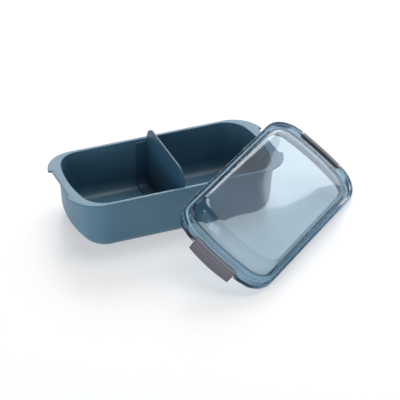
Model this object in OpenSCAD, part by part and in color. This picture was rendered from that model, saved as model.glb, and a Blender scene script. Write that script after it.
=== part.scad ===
// Two-compartment lunch box with a clear domed clip-on lid.
// Frame: origin at the middle of the underside of the container, X along the
// length, Z up. The lid stands leaning on the front right corner of the open box.

/* [Container] */
// height of the rim above the table
rim_h = 50.4; // [40:0.1:70]
// length of the opening, measured on the centre line
mouth_len = 190.4; // [150:0.2:240]
// width of the opening
mouth_wid = 91.0; // [70:0.2:120]
// corner radius of the opening
mouth_r = 22.0; // [10:0.5:35]
// how far the short ends bow outward
end_bow = 8.8; // [2:0.1:14]
// thickness of the floor
floor_t = 2.2; // [1.2:0.1:4]
// wall thickness at the top of the short ends
wall_t = 2.0; // [1.4:0.1:4]
// outward lean of the walls, degrees
wall_draft = 3.5; // [1:0.5:8]
// radius between wall and floor, outside
foot_r = 13.0; // [5:0.5:20]
// radius between wall and floor, inside
inner_foot_r = 11.5; // [4:0.5:18]

/* [Rim and wings] */
// overall length over the wing tabs, on the centre line
wing_len = 215.4; // [190:0.2:260]
// width over the rim
rim_wid = 97.8; // [80:0.2:130]
// corner radius of the wings
wing_r = 30.0; // [15:0.5:40]
// outward bow of the wing edge
wing_bow = 7.7; // [2:0.1:14]
// thickness of the rim flange
flange_t = 2.0; // [1.2:0.1:3]
// half width of the clip notch between the wing tabs
notch_half = 23.2; // [15:0.1:35]
// distance of the notch edge from the centre
notch_x = 102.8; // [95:0.1:110]

/* [Divider] */
// position of the divider panel along the box
divider_x = -1.5; // [-40:0.5:40]
// thickness of the divider panel
panel_t = 1.8; // [1:0.1:3]
// height of the panel above the rim
panel_up = 14.5; // [4:0.5:15]
// radius of the upper corners of the panel
panel_r = 14.0; // [4:0.5:25]
// width of the flange that follows the walls and floor
flap_w = 11.0; // [5:0.5:20]
// thickness of that flange
flap_t = 1.4; // [0.8:0.1:3]
// top of the flange below the rim
flap_drop = 2.6; // [1:0.1:20]
// gap between divider and container
divider_gap = 0.3; // [0.1:0.05:1]

/* [Lid] */
// overall length of the lid, on the centre line
lid_len = 213.8; // [190:0.2:260]
// overall width of the lid
lid_wid = 103.0; // [85:0.2:135]
// corner radius of the lid
lid_r = 28.5; // [12:0.5:35]
// outward bow of the lid ends
lid_bow = 6.8; // [2:0.1:14]
// depth of the skirt below the lid plane
skirt_d = 3.4; // [2.8:0.1:6]
// height of the dome above the lid plane
dome_h = 15.8; // [8:0.2:25]
// half width of the clip recess in the lid ends
recess_half = 23.3; // [15:0.1:35]
// distance of the recess edge from the centre of the lid
recess_x = 99.4; // [90:0.1:105]
// heading of the leaning lid, degrees
lid_yaw = 38.3; // [-180:0.1:180]
// sideways tilt of the leaning lid, degrees
lid_tilt = 31.53; // [0:0.01:60]
// rise of the lid toward its far end, degrees
lid_pitch = 0; // [-10:0.01:10]
// centre of the leaning lid
lid_pos = [74.14, -67.57, 29.89];

/* [Clips] */
// half width of a clip
clip_half = 22.9; // [15:0.1:34]
// clip pivot: distance from the lid centre
pivot_x = 103.0; // [95:0.1:110]
// clip pivot: height above the lid plane
pivot_z = -0.9; // [-3:0.1:3]
// radius of the hinge trunnions
trunnion_r = 1.0; // [0.8:0.05:2]
// radial play of the trunnions
trunnion_play = 0.04; // [0.01:0.01:0.1]
// length of the trunnions
trunnion_l = 2.6; // [1:0.1:5]
// bow of the clip in plan
clip_bow = 1.0; // [0.4:0.1:1.4]
// rise of the lower edge toward the ends of the clip
clip_rise = 1.4; // [0.4:0.1:2]

/* [Hidden] */
$fn = 48;
notch_n = 5;                       // points from the centre line to the notch
corner_n = 13;                     // points round a corner
step = 0.12;                       // run of the step at a notch or recess
quarter_n = notch_n + 1 + corner_n;
ring_n = 4 * quarter_n - 2;
box_blue = [0.33, 0.45, 0.53];
clear_blue = [0.62, 0.72, 0.78, 0.5];
gasket_grey = [0.72, 0.76, 0.78];
clip_grey = [0.27, 0.27, 0.31];

// Outline of a rounded rectangle with bowed ends: o = [half length, half width,
// corner radius, bow]. Every outline is walked by the direction of its normal.
function end_r(o) = (o[1] * o[1] + o[3] * o[3]) / (2 * o[3]);
function corner_a(o) = asin((o[1] - o[2]) / (end_r(o) - o[2]));
function corner_x(o) = o[0] - end_r(o) + (end_r(o) - o[2]) * cos(corner_a(o));
function at_angle(o, t) = t <= corner_a(o)
    ? [o[0] - end_r(o) + end_r(o) * cos(t), end_r(o) * sin(t)]
    : [corner_x(o) + o[2] * cos(t), o[1] - o[2] + o[2] * sin(t)];
function angle_at(o, y) = y <= end_r(o) * sin(corner_a(o))
    ? asin(y / end_r(o))
    : asin(min(1, (y - o[1] + o[2]) / o[2]));
function cut(p, half, lim) = [p[1] < half ? min(p[0], lim) : p[0], p[1]];
// One quarter from the middle of the short end to the long side.
function quarter(o, half, lim) = let (
    a0 = angle_at(o, half - step), a1 = angle_at(o, half + step))
    concat(
        [for (i = [0:notch_n]) cut(at_angle(o, a0 * i / notch_n), half, lim)],
        [for (i = [0:corner_n - 1]) at_angle(o, a1 + (90 - a1) * i / (corner_n - 1))]);
function full(q) = let (n = len(q)) concat(
    q,
    [for (i = [n - 1:-1:0]) [-q[i][0], q[i][1]]],
    [for (i = [1:n - 1]) [-q[i][0], -q[i][1]]],
    [for (i = [n - 1:-1:1]) [q[i][0], -q[i][1]]]);
function reversed(v) = [for (i = [len(v) - 1:-1:0]) v[i]];
// A ring is [half length, half width, radius, bow, z, limit of x in the notch].
function flat_ring(r, half) = let (h = r[5] < 900 ? half : min(half, 0.5 * r[1]))
    [for (p = full(quarter(r, h, r[5]))) [p[0], p[1], r[4]]];
// Offset inwards by d and move to height z.
function inset(o, d, z) = [o[0] - d, o[1] - d, max(o[2] - d, 2.5), o[3], z, 999];

// Faces between successive rings of n points, with flat caps or closed on itself.
function band(n, a, b) = [for (i = [0:n - 1], k = [0:1]) let (j = (i + 1) % n)
    k == 0 ? [a * n + i, b * n + i, b * n + j] : [a * n + i, b * n + j, a * n + j]];
function joined(rings) = [for (r = rings, p = r) p];
module rings_solid(rings, loop = false) {
    n = len(rings[0]);
    m = len(rings);
    bands = [for (k = [0:m - 2], f = band(n, k, k + 1)) f];
    ends = loop
        ? band(n, m - 1, 0)
        : [[for (i = [0:n - 1]) i], [for (i = [n - 1:-1:0]) (m - 1) * n + i]];
    polyhedron(points = joined(rings), faces = concat(bands, ends), convexity = 8);
}

// ---- container ---------------------------------------------------------
mouth = [mouth_len / 2, mouth_wid / 2, mouth_r, end_bow];
body = [mouth_len / 2 + wall_t, rim_wid / 2 - 0.5, mouth_r + 2.4, end_bow];
wing = [wing_len / 2, rim_wid / 2, wing_r, wing_bow];
function lean(z, d) = (rim_h - z) * tan(d);
function foot(o, r, z0, d, t) = let (w = z0 + r * (1 - sin(t)))
    inset(o, lean(z0 + r, d) + r * (1 - cos(t)) , w);
module container() color(box_blue) rings_solid([for (r = concat(
    [for (t = [90:-15:0]) foot(body, foot_r, 0, wall_draft, t)],
    [inset(body, lean(30, wall_draft), 30),
     inset(body, 0.1, rim_h - flange_t),
     [wing[0], wing[1], wing[2], wing[3], rim_h - flange_t, notch_x],
     [wing[0], wing[1], wing[2], wing[3], rim_h - 0.4, notch_x],
     [wing[0] - 0.4, wing[1] - 0.4, wing[2], wing[3], rim_h, notch_x - 0.4],
     inset(mouth, -0.5, rim_h),
     inset(mouth, 0, rim_h - 0.6),
     inset(mouth, lean(30, wall_draft - 0.8), 30)],
    [for (t = [0:15:90]) foot(mouth, inner_foot_r, floor_t, wall_draft - 0.8, t)]))
    flat_ring(r, notch_half)]);

// ---- divider -----------------------------------------------------------
// Half of the inner cross-section of the container, moved inwards by d.
function wall_y(z, d) = mouth_wid / 2 - lean(z, wall_draft - 0.8) - d;
function hollow_half(z, d) = concat(
    [[wall_y(z, d), z]],
    [for (t = [0:10:90]) [
        wall_y(floor_t + inner_foot_r, 0) - inner_foot_r + (inner_foot_r - d) * cos(t),
        floor_t + inner_foot_r - (inner_foot_r - d) * sin(t)]]);
function mirrored(h) = concat(h, [for (i = [len(h) - 1:-1:0]) [-h[i][0], h[i][1]]]);
panel_top = rim_h + panel_up;
module panel_profile() {
    top_y = wall_y(rim_h, divider_gap + 0.5);
    polygon(mirrored(concat(
        [for (t = [90:-10:0]) [top_y - panel_r + panel_r * cos(t),
                               panel_top - panel_r + panel_r * sin(t)]],
        hollow_half(rim_h - 4, divider_gap))));
}
module flap_profile() {
    top = rim_h - flap_drop;
    difference() {
        polygon(mirrored(hollow_half(top, divider_gap)));
        polygon(mirrored(concat([[wall_y(top + 9, divider_gap + flap_t), top + 9]],
                                hollow_half(top, divider_gap + flap_t))));
    }
}
module along_x(l) rotate([90, 0, 90]) linear_extrude(height = l, convexity = 6) children();
module divider() color(box_blue) translate([divider_x, 0, 0]) union() {
    along_x(panel_t) panel_profile();
    difference() {
        translate([-flap_w, 0, 0]) along_x(flap_w + 0.5) flap_profile();
        // rounded outer corners at the top of the flange
        translate([-flap_w, 0, rim_h - flap_drop - 3]) rotate([90, 0, 0]) difference() {
            translate([-1, 0, -60]) cube([4, 4, 120]);
            translate([3, 0, -61]) cylinder(r = 3, h = 122);
        }
    }
}

// ---- lid ---------------------------------------------------------------
lid_o = [lid_len / 2, lid_wid / 2, lid_r, lid_bow];
ear_z = -2.35;                     // underside of the ears, just over the wings
seat_z = -3.0;                     // underside of the groove, level with the gasket
function skirt_z(y) = let (k = min(1, max(0, (abs(y) - 33.5) / 5.5)))
    ear_z - k * (skirt_d + ear_z);
function skirt_ring(r, half) = [for (p = full(quarter(r, half, r[5])))
    [p[0], p[1], skirt_z(p[1])]];
// A rim ring has one more entry: its height inside the clip recess.
function rim_ring(r, half) = [for (p = flat_ring(r, half))
    [p[0], p[1], len(r) > 6 && abs(p[1]) < half ? r[6] : p[2]]];
dome_out = [
    [50.0, 22.0, 10.0, 2.0, dome_h],
    [66.0, 31.0, 12.0, 3.4, dome_h - 0.15],
    [73.5, 37.0, 14.5, 4.8, dome_h - 0.6],
    [78.0, 41.0, 16.2, 5.8, dome_h - 1.4],
    [80.4, 43.0, 17.2, 6.2, dome_h - 2.3],
    [81.9, 44.1, 17.9, 6.3, dome_h - 3.8],
    [83.2, 44.7, 18.3, 6.2, dome_h - 6.5],
    [84.9, 45.2, 18.6, 6.1, 4.5],
    [86.0, 45.5, 18.8, 6.0, 1.5],
    [87.1, 45.8, 18.9, 5.9, -1.1]];
rim_out = [
    [87.5, 46.0, 19.0, 5.9, -1.6, 999],
    [88.2, 46.6, 19.4, 5.9, -1.6, 999],
    [88.8, 47.1, 19.8, 5.9, -0.3, 999],
    [98.2, 48.5, 22.0, 6.6, -0.1, 999],
    [102.5, 49.8, 25.0, 6.7, 0.9, recess_x - 0.7, -0.05],
    [105.0, 50.7, 27.0, 6.8, 1.6, recess_x - 0.4, -0.15],
    [106.4, 51.2, 28.0, 6.8, 1.3, recess_x - 0.1, -0.4],
    [lid_o[0], lid_o[1], lid_o[2], lid_o[3], 0.5, recess_x, -0.9]];
rim_in = [
    [98.4, 49.6, 22.6, 7.8, -2.2, 999],
    [98.3, 49.5, 22.5, 7.8, -1.1, 999],
    [96.2, 47.4, 21.4, 8.1, -1.1, 999],
    [96.1, 47.3, 21.3, 8.1, seat_z, 999]];
dome_in = [
    [85.6, 44.4, 17.6, 5.9, seat_z],
    [84.5, 44.0, 17.4, 6.0, 1.5],
    [83.4, 43.7, 17.2, 6.1, 4.5],
    [81.7, 43.2, 16.8, 6.2, dome_h - 6.7],
    [80.5, 42.6, 16.4, 6.2, dome_h - 4.5],
    [79.0, 41.5, 15.8, 6.0, dome_h - 3.2],
    [76.6, 39.6, 15.0, 5.6, dome_h - 2.5],
    [72.6, 36.3, 13.8, 4.6, dome_h - 2.0],
    [66.0, 31.0, 12.0, 3.4, dome_h - 1.7],
    [50.0, 22.0, 10.0, 2.0, dome_h - 1.5]];
module in_lid() translate(lid_pos) rotate([lid_tilt, lid_pitch, lid_yaw]) children();
module lid_body() rings_solid(reversed(concat(
    [for (r = dome_out) flat_ring(concat(r, [999]), recess_half)],
    [for (r = rim_out) rim_ring(r, recess_half)],
    [skirt_ring(concat(lid_o, [0, recess_x]), recess_half),
     skirt_ring([lid_o[0] - 1.5, lid_o[1] - 1.5, lid_o[2] - 1.5, lid_bow, 0,
                 recess_x - 0.5], recess_half)],
    [for (r = rim_in) flat_ring(r, recess_half)],
    [for (r = dome_in) flat_ring(concat(r, [999]), recess_half)])));
socket_d = trunnion_l + 1;         // depth of the hinge sockets in the ears
module lid_shell() color(clear_blue) in_lid() difference() {
    lid_body();
    for (ex = [-1, 1], ey = [-1, 1])
        translate([ex * pivot_x, ey * (recess_half - 0.5 + socket_d / 2), pivot_z])
            rotate([90, 0, 0])
            cylinder(r = trunnion_r + trunnion_play, h = socket_d + 1, center = true);
}

// ---- gasket ------------------------------------------------------------
module lid_gasket() color(gasket_grey) in_lid() rings_solid([for (r = [
    [96.5, 47.7, 21.5, 8.1, -2.0], [96.9, 48.1, 21.7, 8.0, seat_z],
    [97.7, 48.9, 22.1, 7.9, seat_z], [98.1, 49.3, 22.3, 7.8, -2.0],
    [98.0, 49.2, 22.3, 7.8, -1.3], [96.5, 47.7, 21.5, 8.1, -1.3]])
    flat_ring(concat(r, [999]), recess_half)], loop = true);

// ---- clips -------------------------------------------------------------
pivot_ring = 1.4;
bow_r = clip_half * clip_half / (2 * clip_bow);
rise_r = clip_half * clip_half / (2 * clip_rise);
tip_z = -11.1;
// Section of the straight hinge bar with its web and hook.
bar_section = concat(
    [[104.3, pivot_z + pivot_ring], [104.3, -6.8], [103.7, -6.8], [101.8, -6.6],
     [101.4, -5.9], [101.6, -5.3], [103.3, -5.3], [103.3, pivot_z - pivot_ring]],
    [for (t = [270:-15:90]) [pivot_x + pivot_ring * cos(t), pivot_z + pivot_ring * sin(t)]]);
// Section of the bowed flap outside it.
flap_section = [
    [103.7, 1.2], [104.1, 1.6], [105.9, 1.6], [106.5, 1.1], [106.5, -0.6], [105.9, -2.1],
    [105.4, -3.2], [105.6, -4.8], [106.1, -6.8], [106.9, -8.9], [107.7, -10.5],
    [107.6, tip_z], [106.9, tip_z], [105.9, -9.3], [104.8, -7.7], [104.2, -6.9],
    [104.2, -0.2], [103.7, -0.2]];
flap_a = 2 * asin((clip_half - 0.2) / (bow_r + 4.8));
module flap() intersection() {
    translate([pivot_x - bow_r, 0, 0]) rotate([0, 0, -flap_a / 2])
        rotate_extrude(angle = flap_a, $fn = 720) translate([bow_r - pivot_x, 0])
        polygon(flap_section);
    // the lower edge rises toward the ends of the clip
    translate([pivot_x - 20, 0, tip_z + rise_r]) rotate([0, 90, 0])
        cylinder(r = rise_r, h = 40, $fn = 720);
}
module clip() color(clip_grey) union() {
    flap();
    rotate([90, 0, 0]) {
        translate([0, 0, -clip_half]) linear_extrude(height = 2 * clip_half) polygon(bar_section);
        translate([pivot_x, pivot_z, 0])
            cylinder(r = trunnion_r, h = 2 * (clip_half + trunnion_l), center = true);
    }
}
module clip_far() in_lid() clip();
module clip_near() in_lid() rotate([0, 0, 180]) clip();

container();
divider();
lid_shell();
lid_gasket();
clip_near();
clip_far();
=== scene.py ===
import math

import bmesh
import bpy
from mathutils import Euler, Matrix, Vector


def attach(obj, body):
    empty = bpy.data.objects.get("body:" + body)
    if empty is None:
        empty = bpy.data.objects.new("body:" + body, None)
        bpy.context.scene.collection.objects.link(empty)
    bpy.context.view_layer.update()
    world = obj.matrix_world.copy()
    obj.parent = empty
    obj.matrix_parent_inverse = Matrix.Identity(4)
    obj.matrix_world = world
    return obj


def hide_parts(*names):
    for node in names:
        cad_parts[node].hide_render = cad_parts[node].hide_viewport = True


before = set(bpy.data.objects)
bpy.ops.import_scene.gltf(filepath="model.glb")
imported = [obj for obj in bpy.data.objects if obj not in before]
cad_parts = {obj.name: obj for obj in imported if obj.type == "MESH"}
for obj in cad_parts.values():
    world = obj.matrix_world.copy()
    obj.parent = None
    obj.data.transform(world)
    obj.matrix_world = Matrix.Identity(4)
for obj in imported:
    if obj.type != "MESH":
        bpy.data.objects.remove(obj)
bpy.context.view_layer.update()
MM = 0.001  # lengths below are in millimetres, except for the lamps and camera

# ---- placement of the lid, as in the CAD -------------------------------------
LID_POS = Vector((74.14, -67.57, 29.89))
LID_TURN = Euler((math.radians(31.53), 0.0, math.radians(38.3)), "XYZ").to_matrix()


def lid_place(p):
    return LID_TURN @ Vector(p) + LID_POS


def near_end(p):
    """The lid's far end turned half round about its own z axis."""
    return lid_place((-p[0], -p[1], p[2]))


# ---- outlines: a rounded rectangle with bowed ends ----------------------------
class Outline:
    """Half length a, half width b, corner radius r, and bow s of the two ends, as an arc of radius R.
    Points are found by the angle t of the outline's normal, from the middle of an end."""

    def __init__(self, a, b, r, s):
        self.a, self.b, self.r, self.s = a, b, r, s
        self.R = (b * b + s * s) / (2 * s)
        self.phi = math.asin((b - r) / (self.R - r))
        self.cx = a - self.R + (self.R - r) * math.cos(self.phi)

    def at(self, t):
        if t <= self.phi:
            return (self.a - self.R + self.R * math.cos(t), self.R * math.sin(t))
        return (self.cx + self.r * math.cos(t), self.b - self.r + self.r * math.sin(t))

    def angle(self, y):
        if y <= self.R * math.sin(self.phi):
            return math.asin(y / self.R)
        return math.asin(min(1.0, (y - self.b + self.r) / self.r))


def smooth(x):
    x = min(1.0, max(0.0, x))
    return x * x * (3 - 2 * x)


def quarter_angles(o, half, width, flat=7, step=10, corner=30):
    """Normal angles from the middle of the end to the long side, dense round the notch."""
    ys = [half * 0.92 * i / flat for i in range(flat + 1)]
    ys += [half - width + 2 * width * i / step for i in range(step + 1)]
    ts = [o.angle(y) for y in ys]
    t1 = ts[-1]
    ts += [t1 + (math.pi / 2 - t1) * i / corner for i in range(1, corner + 1)]
    return ts


def ring(o, z, half=23.2, limit=None, width=0.9, low=None):
    """Points of one ring at height z, a number or a function of x and y. The notch is half wide each
    way and fades out over width. limit is how far it lets the end come out, low its height."""
    q = []
    for t in quarter_angles(o, min(half, o.b * 0.5) if limit is None else half, width):
        x, y = o.at(t)
        if limit is not None and x > limit:
            k = smooth((y - (half - width)) / (2 * width))
            x = limit + (x - limit) * k
        q.append((x, y))
    n = len(q)
    full = q + [(-q[i][0], q[i][1]) for i in range(n - 1, -1, -1)]
    full += [(-q[i][0], -q[i][1]) for i in range(1, n)]
    full += [(q[i][0], -q[i][1]) for i in range(n - 1, 0, -1)]

    def height(x, y):
        if callable(z):
            return z(x, y)
        if low is None:
            return z
        return low + (z - low) * smooth((abs(y) - (half - width)) / (2 * width))

    return [(x, y, height(x, y)) for x, y in full]


def shrunk(points, k, z):
    """A ring scaled by k towards the middle, at height z: it closes a flat or crowned face."""
    return [(x * k, y * k, z) for x, y, _ in points]


def inset(o, d, least=2.5):
    """The outline moved inwards by d, with its corners never tighter than least."""
    return Outline(o.a - d, o.b - d, max(o.r - d, least), o.s)


def build(name, verts, faces, place=None, material=None, sharp=math.radians(40)):
    """An object from points in millimetres, smooth-shaded except at edges steeper than sharp."""
    mesh = bpy.data.meshes.new(name)
    pts = [Vector(place(v)) if place else Vector(v) for v in verts]
    mesh.from_pydata([p * MM for p in pts], [], faces)
    mesh.validate()
    bm = bmesh.new()
    bm.from_mesh(mesh)
    bmesh.ops.recalc_face_normals(bm, faces=bm.faces)
    bm.to_mesh(mesh)
    bm.free()
    mesh.polygons.foreach_set("use_smooth", [True] * len(mesh.polygons))
    mesh.set_sharp_from_angle(angle=sharp)
    obj = bpy.data.objects.new(name, mesh)
    bpy.context.scene.collection.objects.link(obj)
    if material:
        mesh.materials.append(material)
    return obj


def rings_mesh(rings, loop=False):
    """Points and faces of a skin over rings of equal length. Its ends are capped, or joined by loop."""
    n = len(rings[0])
    verts = [p for r in rings for p in r]
    faces = []
    m = len(rings)
    for k in range(m if loop else m - 1):
        a, b = k * n, ((k + 1) % m) * n
        for i in range(n):
            j = (i + 1) % n
            faces.append((a + i, a + j, b + j, b + i))
    if not loop:
        faces.append(tuple(range(n)))
        faces.append(tuple(range((m - 1) * n, m * n))[::-1])
    return verts, faces


# ---- materials ---------------------------------------------------------------
CLEAR = (0.90, 0.93, 0.94)  # the lid's surface; its tint comes from its thickness
PAINTED_FOOT_SHADE = (0.16, 0.19, 0.22)  # painted shade: the lid's surface colour darkened in the groove round the dome's foot, for the dark line seen there


def new_material(name):
    m = bpy.data.materials.new(name)
    m.use_nodes = True
    nt = m.node_tree
    nt.nodes.clear()
    out = nt.nodes.new("ShaderNodeOutputMaterial")
    return m, nt, out


def noise(nt, scale, detail=3.0, rough=0.5):
    tc = nt.nodes.new("ShaderNodeTexCoord")
    n = nt.nodes.new("ShaderNodeTexNoise")
    n.inputs["Scale"].default_value = scale
    n.inputs["Detail"].default_value = detail
    n.inputs["Roughness"].default_value = rough
    nt.links.new(tc.outputs["Object"], n.inputs["Vector"])
    return n.outputs["Fac"]


def map_range(nt, value, lo, hi, a, b):
    n = nt.nodes.new("ShaderNodeMapRange")
    n.inputs["From Min"].default_value = lo
    n.inputs["From Max"].default_value = hi
    n.inputs["To Min"].default_value = a
    n.inputs["To Max"].default_value = b
    nt.links.new(value, n.inputs["Value"])
    return n.outputs["Result"]


def mix_colour(nt, fac, a, b):
    n = nt.nodes.new("ShaderNodeMix")
    n.data_type = "RGBA"
    nt.links.new(fac, n.inputs["Factor"])
    n.inputs["A"].default_value = (*a, 1)
    n.inputs["B"].default_value = (*b, 1)
    return n.outputs["Result"]


def moulded(name, dark, light, rough, grain=2600.0, bump=0.02):
    """Matt injection-moulded plastic: fine spark-eroded grain, faint flow marks."""
    m, nt, out = new_material(name)
    p = nt.nodes.new("ShaderNodeBsdfPrincipled")
    flow = noise(nt, 22.0, 2.0)
    fine = noise(nt, grain, 2.0, 0.6)
    colour = mix_colour(nt, map_range(nt, flow, 0.35, 0.65, 0, 1), dark, light)
    nt.links.new(colour, p.inputs["Base Color"])
    nt.links.new(map_range(nt, fine, 0.3, 0.7, rough - 0.05, rough + 0.06), p.inputs["Roughness"])
    p.inputs["IOR"].default_value = 1.49
    b = nt.nodes.new("ShaderNodeBump")
    b.inputs["Strength"].default_value = bump
    b.inputs["Distance"].default_value = 0.0002
    nt.links.new(fine, b.inputs["Height"])
    nt.links.new(b.outputs["Normal"], p.inputs["Normal"])
    nt.links.new(p.outputs["BSDF"], out.inputs["Surface"])
    return m


def clear_plastic(name, tint, density, shade):
    """Polished clear plastic, tinted through its thickness, with shade painted on where the mesh's foot
    attribute is high. Rays towards lamps pass straight through, dimmed by shade at each face."""
    m, nt, out = new_material(name)
    p = nt.nodes.new("ShaderNodeBsdfPrincipled")
    # painted shade: where the foot attribute is high, the base colour turns dark, a dark line round the
    # dome's foot
    foot = nt.nodes.new("ShaderNodeAttribute")
    foot.attribute_name = "foot"
    shade_in = nt.nodes.new("ShaderNodeMix")
    shade_in.data_type = "RGBA"
    shade_in.inputs["B"].default_value = (*PAINTED_FOOT_SHADE, 1)
    nt.links.new(foot.outputs["Fac"], shade_in.inputs["Factor"])
    nt.links.new(mix_colour(nt, map_range(nt, noise(nt, 35.0, 2.0), 0.3, 0.7, 0, 1),
                            CLEAR, [c * 0.985 for c in CLEAR]), shade_in.inputs["A"])
    nt.links.new(shade_in.outputs["Result"], p.inputs["Base Color"])
    nt.links.new(map_range(nt, noise(nt, 90.0, 3.0), 0.3, 0.7, 0.02, 0.05), p.inputs["Roughness"])
    p.inputs["IOR"].default_value = 1.5
    p.inputs["Transmission Weight"].default_value = 1.0
    t = nt.nodes.new("ShaderNodeBsdfTransparent")
    t.inputs["Color"].default_value = (*shade, 1)
    path = nt.nodes.new("ShaderNodeLightPath")
    mix = nt.nodes.new("ShaderNodeMixShader")
    nt.links.new(path.outputs["Is Shadow Ray"], mix.inputs["Fac"])
    nt.links.new(p.outputs["BSDF"], mix.inputs[1])
    nt.links.new(t.outputs["BSDF"], mix.inputs[2])
    nt.links.new(mix.outputs["Shader"], out.inputs["Surface"])
    v = nt.nodes.new("ShaderNodeVolumeAbsorption")
    v.inputs["Color"].default_value = (*tint, 1)
    v.inputs["Density"].default_value = density
    nt.links.new(v.outputs["Volume"], out.inputs["Volume"])
    return m


# dark and light colour of the flow marks, roughness
BOX = moulded("slate_blue_pp", (0.057, 0.140, 0.206), (0.064, 0.151, 0.220), 0.40)
# painted shade: the divider's blue is the box plastic's, made darker for the shade on its left-facing side
SHADED_DIVIDER_BLUE = moulded("slate_blue_divider_shaded", (0.020, 0.062, 0.104), (0.024, 0.070, 0.114), 0.44)
CLIP = moulded("dark_grey_clip", (0.105, 0.104, 0.130), (0.117, 0.116, 0.144), 0.34)
SEAL = moulded("silicone_seal", (0.62, 0.70, 0.74), (0.66, 0.74, 0.78), 0.55, 1800.0, 0.03)
LID = clear_plastic("clear_smoke_blue", (0.08, 0.35, 0.50), 420.0, (0.90, 0.92, 0.94))

# ---- container ----------------------------------------------------------------
RIM = 50.4  # height of the box
FLANGE_Z = 48.4  # underside of the rim flange
FLOOR_T = 2.2
FOOT_R, INNER_FOOT_R = 13.0, 11.5  # where the walls meet the floor, outside and inside
OUTER_DRAFT, INNER_DRAFT = 3.5, 2.7  # degrees
NOTCH = 102.8  # the notches in the two ends stop here
mouth = Outline(95.2, 45.5, 22.0, 8.8)
body = Outline(97.2, 48.4, 24.4, 8.8)
wing = Outline(107.7, 48.9, 30.0, 7.7)


def lean(z, deg):
    """How far a drafted wall has moved inwards at height z."""
    return (RIM - z) * math.tan(math.radians(deg))


def quadrant(start, steps):
    """Cosine and sine of evenly spaced angles over 90 degrees."""
    angles = [math.radians(start + 90 * i / steps) for i in range(steps + 1)]
    return [(math.cos(t), math.sin(t)) for t in angles]


def container():
    rings = []
    foot = lean(FOOT_R, OUTER_DRAFT)
    for c, s in reversed(quadrant(0, 12)):
        rings.append(ring(inset(body, foot + FOOT_R * (1 - c)), FOOT_R * (1 - s)))
    for z in (20, 28, 36, 43, 47):
        rings.append(ring(inset(body, lean(z, OUTER_DRAFT)), z))
    rings.append(ring(inset(body, 0.12), FLANGE_Z - 0.4))
    rings.append(ring(inset(body, 0.02), FLANGE_Z - 0.1))
    edge = 0.45  # rounding of the flange's lower edge
    rings.append(ring(inset(wing, edge), FLANGE_Z, limit=NOTCH - edge))
    for c, s in quadrant(-90, 4)[1:]:
        rings.append(ring(inset(wing, edge - edge * c), FLANGE_Z + edge + edge * s,
                          limit=NOTCH - edge + edge * c))
    top = 0.6  # and of its upper edge
    for c, s in quadrant(0, 4):
        rings.append(ring(inset(wing, top - top * c), RIM - top + top * s, limit=NOTCH - top + top * c))
    lip = 0.7  # rounding of the mouth
    for c, s in quadrant(0, 5):
        rings.append(ring(inset(mouth, -lip + lip * s), RIM - lip + lip * c))
    for z in (44, 36, 28, 20):
        rings.append(ring(inset(mouth, lean(z, INNER_DRAFT)), z))
    base = lean(FLOOR_T + INNER_FOOT_R, INNER_DRAFT)
    for c, s in quadrant(0, 12):
        rings.append(ring(inset(mouth, base + INNER_FOOT_R * (1 - c)), FLOOR_T + INNER_FOOT_R * (1 - s)))
    return rings_mesh(rings)


tub = build("container_shell", *container(), material=BOX)
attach(tub, "box")
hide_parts("container")

# ---- divider ------------------------------------------------------------------
DIVIDER_X = -1.5  # its left face
PANEL_UP = 14.5  # how far it stands above the rim
PANEL_R = 14.0  # its top corners
PANEL_T = 1.8
GAP = 0.3  # between it and the box
FLAP_W, FLAP_T = 11.0, 1.4  # the flange that follows the walls
FLAP_TOP, FLAP_R = RIM - 2.6, 3.0  # its top, and the rounding of its top corners


def wall_y(z, d):
    return mouth.b - lean(z, INNER_DRAFT) - d


def inner_section(top, d, n=12):
    """Half of the inside cross-section of the tub, moved inwards by d, as (y, z)."""
    bend = FLOOR_T + INNER_FOOT_R  # where the wall turns into the foot
    pts = []
    for i in range(6):
        z = top - (top - bend) * i / 6
        pts.append((wall_y(z, d), z))
    cy = wall_y(bend, 0) - INNER_FOOT_R
    pts += [(cy + (INNER_FOOT_R - d) * math.cos(math.radians(90.0 * i / n)),
             bend - (INNER_FOOT_R - d) * math.sin(math.radians(90.0 * i / n))) for i in range(n + 1)]
    return pts


def pushed(loop, d):
    """A closed loop of plane points moved inwards by d along its vertex normals."""
    area = sum(a[0] * b[1] - b[0] * a[1] for a, b in zip(loop, loop[1:] + loop[:1]))
    side = 1 if area > 0 else -1
    out = []
    n = len(loop)
    for i, p in enumerate(loop):
        a, b = loop[i - 1], loop[(i + 1) % n]
        tx, ty = b[0] - a[0], b[1] - a[1]
        l = math.hypot(tx, ty) or 1.0
        out.append((p[0] - side * ty / l * d, p[1] + side * tx / l * d))
    return out


def panel_rings():
    """The upright panel: one loop in y and z, swept through its thickness with rounded edges."""
    top = RIM + PANEL_UP
    ty = wall_y(RIM, GAP + 0.5)
    half = [(0.0, top), (12.0, top), (24.0, top)]
    half += [(ty - PANEL_R + PANEL_R * math.cos(math.radians(a)),
              top - PANEL_R + PANEL_R * math.sin(math.radians(a))) for a in range(90, -1, -6)]
    half += inner_section(RIM - 4, GAP)
    loop = half + [(-y, z) for y, z in reversed(half[1:])]
    e = 0.35
    return [[(x + DIVIDER_X, y, z) for y, z in (pushed(loop, d) if d else loop)]
            for x, d in ((0, e), (0.1, 0.1), (e, 0), (PANEL_T - e, 0), (PANEL_T - 0.1, 0.1), (PANEL_T, e))]


def flap_edge(depth):
    """Where the flange's free edge is, at this depth below its rounded top corner."""
    return -FLAP_W + FLAP_R - math.sqrt(max(0.0, FLAP_R ** 2 - (FLAP_R - depth) ** 2))


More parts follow.
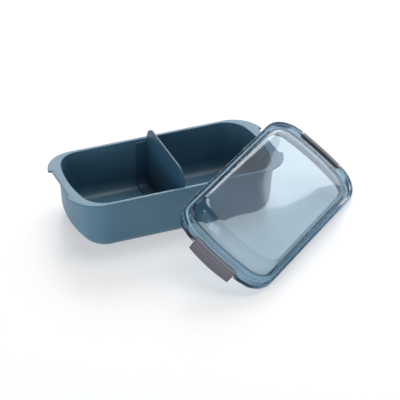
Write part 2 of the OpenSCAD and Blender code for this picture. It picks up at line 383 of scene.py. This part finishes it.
def flap_rings():
    """The flange: one thin section with a rounded edge at each station down, across and up the tub."""
    stations = []
    for h in (0.0, 0.15, 0.5, 1.0, 1.6, 2.3):
        z = FLAP_TOP - h
        stations.append(((wall_y(z, GAP), z), (wall_y(z, GAP + FLAP_T), z), min(flap_edge(h), -FLAP_W + 2.6)))
    outer, inner = inner_section(FLAP_TOP, GAP), inner_section(FLAP_TOP, GAP + FLAP_T)
    for o, i in list(zip(outer, inner))[1:]:
        stations.append((o, i, flap_edge(min(FLAP_TOP - o[1], FLAP_R))))
    stations += [((-o[0], o[1]), (-i[0], i[1]), x0) for o, i, x0 in reversed(stations[:-1])]
    rings = []
    for n, (o, i, x0) in enumerate(stations):
        k = 0.12 if n in (0, len(stations) - 1) else 0.0
        section = []
        for x, f in ((0.4, 1.0), (x0 + 0.5, 1.0), (x0 + 0.15, 0.9), (x0, 0.66), (x0, 0.34),
                     (x0 + 0.15, 0.1), (x0 + 0.5, 0.0), (0.4, 0.0)):
            f = k + f * (1 - 2 * k)
            section.append((x + DIVIDER_X, o[0] + (i[0] - o[0]) * f, o[1] + (i[1] - o[1]) * f))
        rings.append(section)
    return rings


def together(parts):
    """Several (points, faces) pairs as one."""
    verts, faces = [], []
    for v, f in parts:
        n = len(verts)
        verts = verts + v
        faces = faces + [tuple(a + n for a in face) for face in f]
    return verts, faces


def divider():
    return together([rings_mesh(panel_rings()), rings_mesh(flap_rings())])


panel = build("divider_panel", *divider(), material=SHADED_DIVIDER_BLUE, sharp=math.radians(60))
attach(panel, "divider")
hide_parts("divider")

# ---- lid, in its own axes: x along it, z up from the plateau ---------------------
DOME = 15.8  # height of the dome
SKIN = 1.5  # thickness of its top
SKIRT_Z, EAR_Z = -3.4, -2.35  # lower edge of the skirt, along the sides and at the clip recesses
EAR_END, EAR_FADE = 33.5, 5.5  # the edge drops between this far from the middle and this much further
SEAT_Z = -3.0  # the underside that rests on the rim
RECESS = dict(half=23.3, width=0.5)  # half width of a clip recess, and how sharply it begins
RECESS_X = 99.38  # a recess goes in to here
PIVOT = (103.0, -0.9)  # x and z of the far clip's hinge
SOCKET_R, SOCKET_Y = 1.05, (22.6, 26.5)  # the hinge sockets, on each side of a recess


def skirt_z(x, y):
    return EAR_Z - smooth((abs(y) - EAR_END) / EAR_FADE) * (EAR_Z - SKIRT_Z)


def spread(rows, n=3):
    """Extra rows between the given ones, on a smooth curve through them."""
    out = []
    for i in range(len(rows) - 1):
        p = [rows[max(i - 1, 0)], rows[i], rows[i + 1], rows[min(i + 2, len(rows) - 1)]]
        for k in range(n):
            t = k / n
            out.append([0.5 * (2 * b + (c - a) * t + (2 * a - 5 * b + 4 * c - d) * t * t
                               + (3 * b - a - 3 * c + d) * t ** 3) for a, b, c, d in zip(*p)])
    return out + [list(rows[-1])]


# Rows of half length, half width, corner radius, bow and height; the rim's also have how far the
# recess lets the end come out and its height there.
H = DOME
DOME_OUT = [(50.0, 22.0, 10.0, 2.0, H), (66.0, 31.0, 12.0, 3.4, H - 0.15),
            (73.5, 37.0, 14.5, 4.8, H - 0.6), (78.0, 41.0, 16.2, 5.8, H - 1.4),
            (80.4, 43.0, 17.2, 6.2, H - 2.3), (81.9, 44.1, 17.9, 6.3, H - 3.8),
            (83.2, 44.7, 18.3, 6.2, H - 6.5), (84.9, 45.2, 18.6, 6.1, 4.5),
            (86.0, 45.5, 18.8, 6.0, 1.5), (87.1, 45.8, 18.9, 5.9, -1.1)]
GROOVE = [(87.25, 45.9, 19.0, 5.9, -1.45), (87.6, 46.1, 19.0, 5.9, -1.6), (88.1, 46.5, 19.3, 5.9, -1.6),
          (88.5, 46.8, 19.5, 5.9, -1.35), (88.7, 47.0, 19.7, 5.9, -0.7), (89.1, 47.2, 19.8, 5.9, -0.3)]
PLATEAU = [(91.0, 47.5, 20.3, 6.1, -0.15), (98.2, 48.5, 22.0, 6.6, -0.05)]
RAISED_RIM = [(101.4, 49.4, 24.3, 6.7, 0.55, 98.5, -0.06), (103.4, 50.1, 25.6, 6.75, 1.2, 98.8, -0.08),
              (105.0, 50.7, 27.0, 6.8, 1.6, 99.0, -0.15), (105.8, 51.0, 27.6, 6.8, 1.52, 99.1, -0.25),
              (106.4, 51.2, 28.0, 6.8, 1.25, 99.25, -0.4), (106.74, 51.36, 28.35, 6.8, 0.8, 99.35, -0.65),
              (106.82, 51.42, 28.4, 6.8, 0.3, RECESS_X, -0.9)]
# the skirt's rows have the recess and how far they are above its lower edge
SKIRT = [(106.82, 51.42, 28.4, 6.8, RECESS_X, 0.45), (106.7, 51.3, 28.3, 6.8, 99.3, 0.12),
         (106.4, 51.0, 28.0, 6.8, 99.2, 0.0), (105.4, 50.0, 27.0, 6.8, 98.9, 0.0)]
CHANNEL = [(98.4, 49.6, 22.6, 7.8, -2.2), (98.3, 49.5, 22.5, 7.8, -1.1), (96.2, 47.4, 21.4, 8.1, -1.1),
           (96.1, 47.3, 21.3, 8.1, SEAT_Z)]
DOME_IN = [(85.6, 44.4, 17.6, 5.9, SEAT_Z), (85.2, 44.25, 17.5, 5.95, -1.2), (84.5, 44.0, 17.4, 6.0, 1.5),
           (83.4, 43.7, 17.2, 6.1, 4.5), (81.7, 43.2, 16.8, 6.2, H - 6.7),
           (80.5, 42.6, 16.4, 6.2, H - 4.5), (79.0, 41.5, 15.8, 6.0, H - 3.2),
           (76.6, 39.6, 15.0, 5.6, H - 2.5), (72.6, 36.3, 13.8, 4.6, H - 2.0),
           (66.0, 31.0, 12.0, 3.4, H - 1.7), (50.0, 22.0, 10.0, 2.0, H - SKIN)]
CLOSING = (0.04, 0.3, 0.65)  # the rings that close the dome's top, as shares of its first row


def level(rows):
    return [ring(Outline(a, b, r, s), z) for a, b, r, s, z in rows]


def lid():
    outside = level(spread(DOME_OUT))
    crown = [shrunk(outside[0], k, DOME) for k in CLOSING]
    outside += level(GROOVE + PLATEAU)
    outside += [ring(Outline(a, b, r, s), z, limit=x, low=low, **RECESS)
                for a, b, r, s, z, x, low in RAISED_RIM]
    for a, b, r, s, x, rise in SKIRT:
        outside.append(ring(Outline(a, b, r, s), lambda px, py: skirt_z(px, py) + rise, limit=x, **RECESS))
    inside = level(CHANNEL) + level(spread(DOME_IN))
    below = [shrunk(inside[-1], k, DOME - SKIN) for k in reversed(CLOSING)]
    return rings_mesh(crown + outside + inside + below)


def paint_foot_shade(obj):
    """Gives the points of the groove at the dome's foot a foot value: how much shade the material paints
    there.
    """
    # how dark the painted shade is on each ring of the groove
    painted_shade_amounts = (0.35, 0.9, 1.0, 1.0, 1.0, 0.8, 0.2)
    first = len(CLOSING) + len(spread(DOME_OUT)) - 2
    size = len(ring(Outline(*DOME_OUT[0][:4]), 0.0))
    mask = obj.data.attributes.new("foot", "FLOAT", "POINT")
    for k, amount in enumerate(painted_shade_amounts, first):
        for i in range(k * size, (k + 1) * size):
            mask.data[i].value = amount


def rod(x, z, r, y0, y1, n=32):
    """A rod along the lid's y axis, with rounded ends."""
    circle = [(math.cos(2 * math.pi * i / n), math.sin(2 * math.pi * i / n)) for i in range(n)]
    rings = []
    for y, k in ((y0, 0.75), (y0 + 0.12, 0.93), (y0 + 0.3, 1.0),
                 (y1 - 0.3, 1.0), (y1 - 0.12, 0.93), (y1, 0.75)):
        rings.append([(x + r * k * c, y, z + r * k * s) for c, s in circle])
    return rings_mesh(rings)


def drilled(obj, holes):
    """Cuts the hinge sockets out of the object."""
    cutters = []
    for x, y0, y1 in holes:
        cutters.append(build("socket_cut", *rod(x, PIVOT[1], SOCKET_R, y0, y1), place=lid_place))
        mod = obj.modifiers.new("socket", "BOOLEAN")
        mod.operation = "DIFFERENCE"
        mod.solver = "EXACT"
        mod.object = cutters[-1]
    graph = bpy.context.evaluated_depsgraph_get()
    cut = bpy.data.meshes.new_from_object(obj.evaluated_get(graph), depsgraph=graph)
    obj.modifiers.clear()
    obj.data = cut
    for c in cutters:
        bpy.data.objects.remove(c, do_unlink=True)
    cut.polygons.foreach_set("use_smooth", [True] * len(cut.polygons))
    cut.set_sharp_from_angle(angle=math.radians(50))


shell = build("lid_clear", *lid(), place=lid_place, material=LID, sharp=math.radians(50))
paint_foot_shade(shell)
drilled(shell, [(end * PIVOT[0], *sorted(side * y for y in SOCKET_Y))
                for end in (-1, 1) for side in (-1, 1)])
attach(shell, "lid")
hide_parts("lid_shell")


GASKET = [(96.5, 47.7, 21.5, 8.1, -2.0), (96.6, 47.8, 21.6, 8.1, -2.6), (96.9, 48.1, 21.7, 8.0, SEAT_Z),
          (97.7, 48.9, 22.1, 7.9, SEAT_Z), (98.0, 49.2, 22.2, 7.8, -2.6), (98.1, 49.3, 22.3, 7.8, -2.0),
          (98.0, 49.2, 22.3, 7.8, -1.3), (96.5, 47.7, 21.5, 8.1, -1.3)]

seal = build("lid_seal", *rings_mesh(level(GASKET), loop=True), place=lid_place, material=SEAL)
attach(seal, "lid")
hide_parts("lid_gasket")

# ---- clips ----------------------------------------------------------------------
CLIP_HALF = 22.9
CLIP_BOW, CLIP_RISE = 1.0, 1.4  # how far its ends fall back and their lower edge rises
LIP_Z, LIP_H = -7.0, 4.1  # the rise fades in below this height, over this much
BOSS_R = 1.4  # round the hinge
TRUNNION_R, TRUNNION_Y = 1.0, (22.4, 25.4)
# corners of the bar and flap, and of the web and hook, as x, z and rounding
SECTION = [(101.7, 1.1, 0.25), (102.1, 1.55, 0.3), (105.9, 1.6, 0.5), (106.5, 1.0, 0.5), (106.5, -0.6, 1.0),
           (105.5, -2.1, 0.8), (105.0, -3.1, 1.0), (105.4, -4.8, 1.5), (106.1, -6.8, 2.0), (106.9, -8.9, 2.0),
           (107.65, -10.5, 0.35), (107.5, -11.05, 0.35), (106.95, -11.05, 0.35), (105.9, -9.3, 1.2),
           (104.8, -7.7, 0.8), (104.2, -6.9, 0.2), (104.2, 0.3, 0.1), (101.8, 0.35, 0.2)]
WEB = [(104.3, 0.5, 0.1), (104.3, -6.8, 0.1), (103.7, -6.8, 0.3), (101.8, -6.6, 0.35), (101.4, -5.9, 0.3),
       (101.6, -5.3, 0.25), (103.3, -5.3, 0.3), (103.3, -2.3, 0.1)]


def filleted(poly, n=4):
    """Corner points (x, z, radius) turned into a smooth loop."""
    out = []
    m = len(poly)
    for i in range(m):
        p = Vector(poly[i][:2])
        a = Vector(poly[i - 1][:2]) - p
        b = Vector(poly[(i + 1) % m][:2]) - p
        d = min(poly[i][2], a.length * 0.48, b.length * 0.48)
        s, e = p + a.normalized() * d, p + b.normalized() * d
        for k in range(n + 1):
            t = k / n
            out.append(tuple(s * (1 - t) ** 2 + p * 2 * t * (1 - t) + e * t * t))
    return out


def swept(loop, half, bow, rise, edge):
    """A section along the lid's y axis: it bows in plan and its lower edge rises at the ends."""
    rings = []
    n = 36
    ys = [-half, -half + 0.3 * edge, -half + edge]
    ys += [(-1 + 2 * i / n) * (half - edge - 0.15) for i in range(n + 1)]
    ys += [half - edge, half - 0.3 * edge, half]
    for j, y in enumerate(ys):
        d = {0: 0.8 * edge, 1: 0.25 * edge, len(ys) - 2: 0.25 * edge, len(ys) - 1: 0.8 * edge}.get(j, 0.0)
        k = y * y / CLIP_HALF ** 2
        rings.append([(x - bow * k, y, z + rise * k * smooth((LIP_Z - z) / LIP_H))
                      for x, z in (pushed(loop, d) if d else loop)])
    return rings_mesh(rings)


def clip():
    boss = [(PIVOT[0] + BOSS_R * math.cos(math.radians(a)), PIVOT[1] + BOSS_R * math.sin(math.radians(a)))
            for a in range(262, 89, -12)]
    parts = [swept(filleted(SECTION), CLIP_HALF - 0.25, CLIP_BOW, CLIP_RISE, 0.3),
             swept(filleted(WEB, 3) + boss, CLIP_HALF, 0.0, 0.0, 0.2)]
    parts += [rod(*PIVOT, TRUNNION_R, *sorted(side * y for y in TRUNNION_Y)) for side in (-1, 1)]
    return together(parts)


for node, place in (("clip_near", near_end), ("clip_far", lid_place)):
    made = build(node + "_shaped", *clip(), place=place, material=CLIP, sharp=math.radians(45))
    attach(made, node)
    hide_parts(node)

# ---- floor, then lamps and camera, which are in metres ----------------------------
def floor():
    corners = [(-6000, -5000, 0), (6000, -5000, 0), (6000, 6000, 0), (-6000, 6000, 0)]
    m, nt, out = new_material("pale_floor")
    p = nt.nodes.new("ShaderNodeBsdfPrincipled")
    colour = mix_colour(nt, noise(nt, 3.0), (0.34, 0.34, 0.345), (0.36, 0.36, 0.36))
    nt.links.new(colour, p.inputs["Base Color"])
    p.inputs["Roughness"].default_value = 0.35
    p.inputs["Specular IOR Level"].default_value = 0.25
    p.inputs["Emission Color"].default_value = (0.97, 0.985, 1.0, 1)
    p.inputs["Emission Strength"].default_value = 0.48
    nt.links.new(p.outputs["BSDF"], out.inputs["Surface"])
    return build("floor", corners, [(0, 1, 2, 3)], material=m)


ground = floor()


def lamp(name, where, at, size, watts, colour, mirrored=True):
    """A card that faces a point. If it is not mirrored, it lights things but shows in none of them."""
    data = bpy.data.lights.new(name, "AREA")
    data.shape = "RECTANGLE"
    data.size, data.size_y = size
    data.energy = watts
    data.color = colour
    o = bpy.data.objects.new(name, data)
    o.location = where
    o.rotation_euler = (Vector(at) - Vector(where)).to_track_quat("-Z", "Y").to_euler()
    o.visible_glossy = mirrored
    bpy.context.scene.collection.objects.link(o)


WHITE = (1.0, 1.0, 1.0)
lamp("key_top", (0.25, 0.45, 2.10), (0.0, 0.0, 0.02), (1.4, 1.0), 25.0, (1.0, 0.99, 0.98))
lamp("back_card", (0.73, 1.70, 1.19), (0.0, 0.0, 0.04), (2.2, 1.0), 31.0, WHITE)
lamp("side_card", (1.95, 0.45, 1.60), (0.07, -0.07, 0.03), (3.2, 3.2), 36.0, (0.98, 0.99, 1.0))
lamp("low_fill", (-1.90, -1.50, 0.62), (0.0, 0.0, 0.03), (4.4, 1.0), 34.0, (0.99, 0.99, 1.0), False)
lamp("glint_card", (1.694, 0.773, 0.959), (0.112, 0.343, -0.187), (0.8, 0.6), 4.2, WHITE)
lamp("left_card", (-2.30, -0.40, 0.24), (-0.10, 0.0, 0.03), (1.8, 0.4), 18.0, WHITE, False)
lamp("spark", (-2.00, 0.10, 0.90), (0.0, -0.10, 0.05), (0.26, 0.26), 1.3, WHITE)

world = bpy.data.worlds.new("studio")
world.use_nodes = True
world.node_tree.nodes["Background"].inputs["Color"].default_value = (0.96, 0.98, 1.0, 1)
world.node_tree.nodes["Background"].inputs["Strength"].default_value = 0.16
bpy.context.scene.world = world
bpy.context.scene.view_settings.view_transform = "Standard"

AZIMUTH, ELEVATION, ROLL = math.radians(-23.3), math.radians(32.83), math.radians(1.1)
DISTANCE = 2.134
TARGET = Vector((0.0040, -0.0709, 0.0503))

back = Vector((math.sin(AZIMUTH) * math.cos(ELEVATION), -math.cos(AZIMUTH) * math.cos(ELEVATION),
               math.sin(ELEVATION)))
right = Vector((math.cos(AZIMUTH), math.sin(AZIMUTH), 0))
up = back.cross(right)
axes = Matrix((right * math.cos(ROLL) + up * math.sin(ROLL),
               up * math.cos(ROLL) - right * math.sin(ROLL), back)).transposed()
cam_data = bpy.data.cameras.new("camera")
cam_data.sensor_width = 36.0
cam_data.lens = 215.2
cam_data.clip_end = 50.0
cam = bpy.data.objects.new("camera", cam_data)
cam.matrix_world = Matrix.Translation(TARGET + back * DISTANCE) @ axes.to_4x4()
bpy.context.scene.collection.objects.link(cam)
bpy.context.scene.camera = cam
